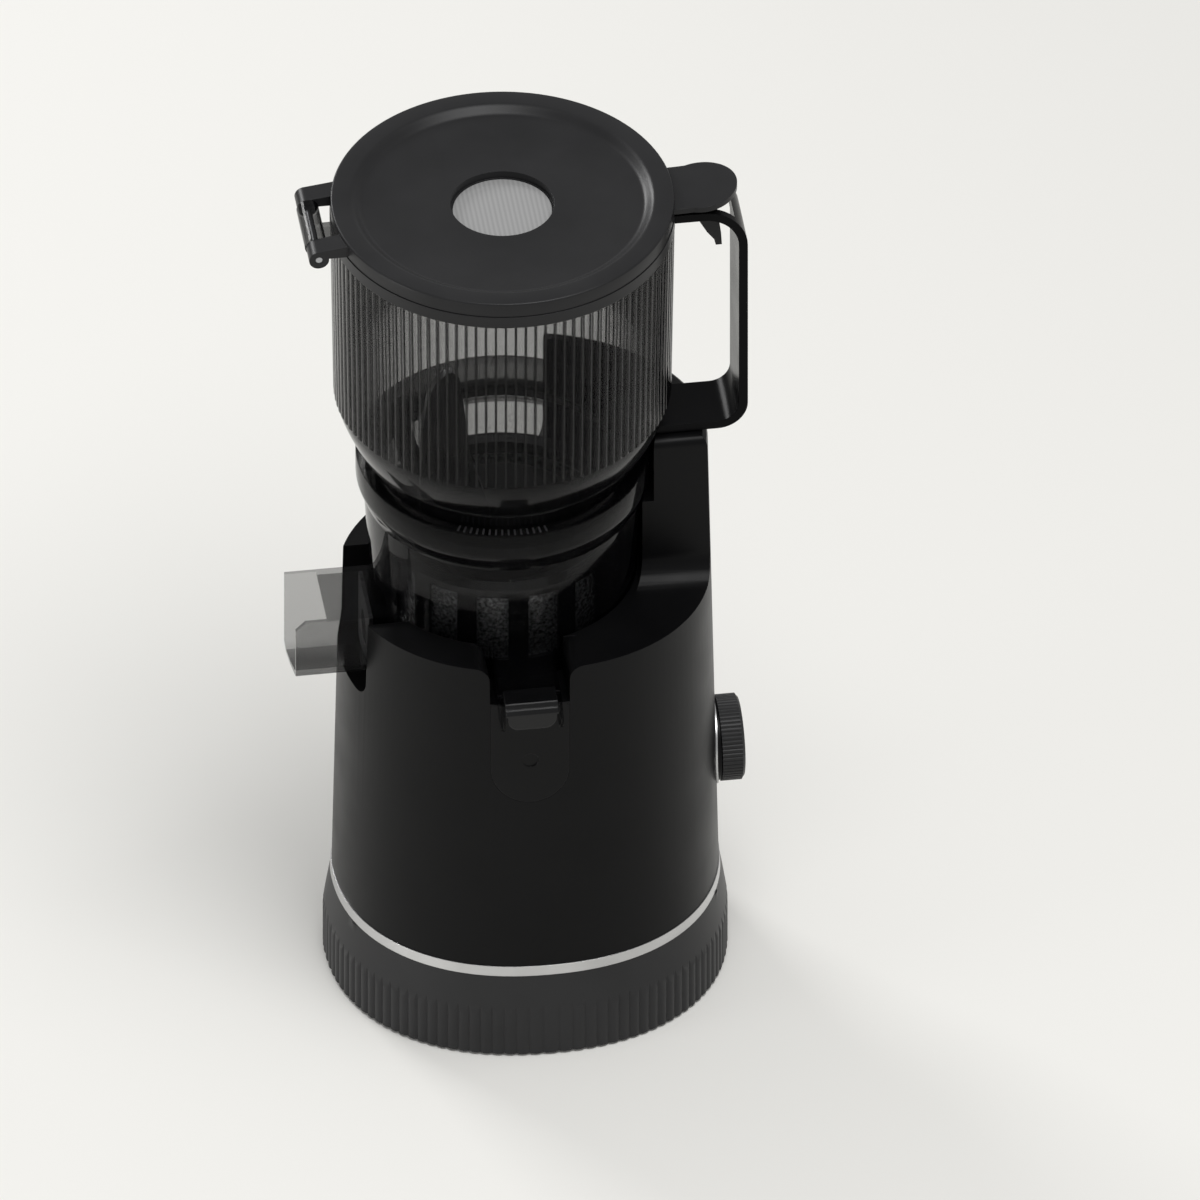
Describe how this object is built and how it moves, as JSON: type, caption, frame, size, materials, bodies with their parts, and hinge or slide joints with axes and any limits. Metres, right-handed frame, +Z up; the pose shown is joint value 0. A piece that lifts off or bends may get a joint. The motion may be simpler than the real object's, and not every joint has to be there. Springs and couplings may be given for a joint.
{
  "type": "cold press juicer",
  "caption": "Upright slow juicer: lidded smoked hopper with handle over a screw drum with spout and pulp chute, on a black column with a side knob.",
  "frame": {"origin": "middle of the whole object's footprint, on the table under the rubber feet", "axes": "+Z up, -Y to the front with the spout and the panel, +X to the side with the handle and the knob"},
  "size_m": [0.2298, 0.1944, 0.468],
  "materials": {
    "black_abs": "satin",
    "black_gloss": "gloss",
    "base_black": "matt",
    "silver": "satin plated",
    "rubber": "matt",
    "steel": "turned",
    "switch_nylon": "matt",
    "board": "solder mask",
    "motor_steel": "zinc plated",
    "lamination": "stacked sheet",
    "copper": "enamelled wire",
    "gear_nylon": "moulded",
    "bronze": "sintered",
    "smoked": "smoked, clear",
    "silicone": "matt",
    "strainer_black": "satin",
    "mesh_steel": "perforated",
    "screw_black": "satin",
    "window": "frosted"
  },
  "bodies": {
    "base": {"body_shell": "black_abs", "front_panel": "black_gloss", "base_ring": "base_black", "trim_ring": "silver", "base_plate": "black_abs", "feet": "rubber", "base_screws": "steel", "cord_bush": "rubber", "knob_ring": "silver", "rotary_switch": "switch_nylon", "control_board": "board", "interlock_switch": "switch_nylon", "motor_case": "motor_steel", "motor_stator": "lamination", "motor_windings": "copper", "motor_bearings": "steel", "gear_plate": "motor_steel", "gear_cover": "switch_nylon", "gear_screws": "steel", "idler_axle": "steel", "output_bush": "bronze"},
    "rotor": {"motor_rotor": "lamination", "cooling_fan": "black_abs", "motor_pinion": "steel"},
    "idler": {"idler_gears": "gear_nylon"},
    "drive": {"output_gear": "gear_nylon", "drive_shaft": "steel"},
    "selector": {"knob": "black_abs"},
    "juicing_drum": {"drum": "smoked", "drum_seal": "silicone", "pulp_gate": "silicone", "strainer": "strainer_black", "strainer_mesh": "mesh_steel", "cap_pin": "steel"},
    "cap": {"spout_cap": "black_gloss", "cap_seal": "silicone"},
    "screw": {"auger": "screw_black", "feed_blade": "screw_black"},
    "top": {"locking_collar": "smoked", "hopper": "smoked", "hopper_seal": "silicone", "hopper_rim": "black_abs", "hinge_barrel": "smoked", "hinge_pin": "steel", "handle": "black_gloss"},
    "cover": {"lid": "black_abs", "lid_window": "window", "lid_seal": "silicone", "latch_pin": "steel", "latch_spring": "steel"},
    "latch": {"lid_latch": "black_abs"}
  },
  "joints": [
    {"name": "rotor_spin", "type": "hinge", "parent": "base", "child": "rotor", "pos_m": [-0.00215, 0.01078, 0.1], "axis": [0, 0, 1], "continuous": true},
    {"name": "idler_spin", "type": "hinge", "parent": "base", "child": "idler", "pos_m": [0.04426, 0.01078, 0.15], "axis": [0, 0, 1], "continuous": true},
    {"name": "drive_spin", "type": "hinge", "parent": "base", "child": "drive", "pos_m": [-0.0059, 0.01078, 0.16], "axis": [0, 0, 1], "continuous": true},
    {"name": "screw_spin", "type": "hinge", "parent": "juicing_drum", "child": "screw", "pos_m": [-0.0059, 0.01078, 0.24], "axis": [0, 0, 1], "continuous": true},
    {"name": "knob_turn", "type": "hinge", "parent": "base", "child": "selector", "pos_m": [0.1011, 0.01078, 0.114], "axis": [1, 0, 0], "range_deg": [-45, 45]},
    {"name": "drum_lift", "type": "slide", "parent": "base", "child": "juicing_drum", "axis": [0, 0, 1], "range_m": [0, 0.08]},
    {"name": "cap_flip", "type": "hinge", "parent": "juicing_drum", "child": "cap", "pos_m": [-0.0059, -0.08402, 0.22802], "axis": [-1, 0, 0], "range_deg": [0, 100]},
    {"name": "top_twist", "type": "hinge", "parent": "juicing_drum", "child": "top", "pos_m": [-0.0059, 0.01078, 0.3], "axis": [0, 0, 1], "range_deg": [0, 35]},
    {"name": "lid_hinge", "type": "hinge", "parent": "top", "child": "cover", "pos_m": [-0.1014, 0.01078, 0.4595], "axis": [0, -1, 0], "range_deg": [0, 100]},
    {"name": "latch_press", "type": "hinge", "parent": "cover", "child": "latch", "pos_m": [0.0749, 0.01078, 0.4628], "axis": [0, -1, 0], "range_deg": [0, 8], "stiffness_Nm_per_rad": 0.3, "springref_deg": -17.19}
  ],
  "couplings": [
    {"joint": "idler_spin", "follows": "rotor_spin", "ratio": -0.16667},
    {"joint": "drive_spin", "follows": "rotor_spin", "ratio": 0.033333},
    {"joint": "screw_spin", "follows": "rotor_spin", "ratio": 0.033333}
  ]
}
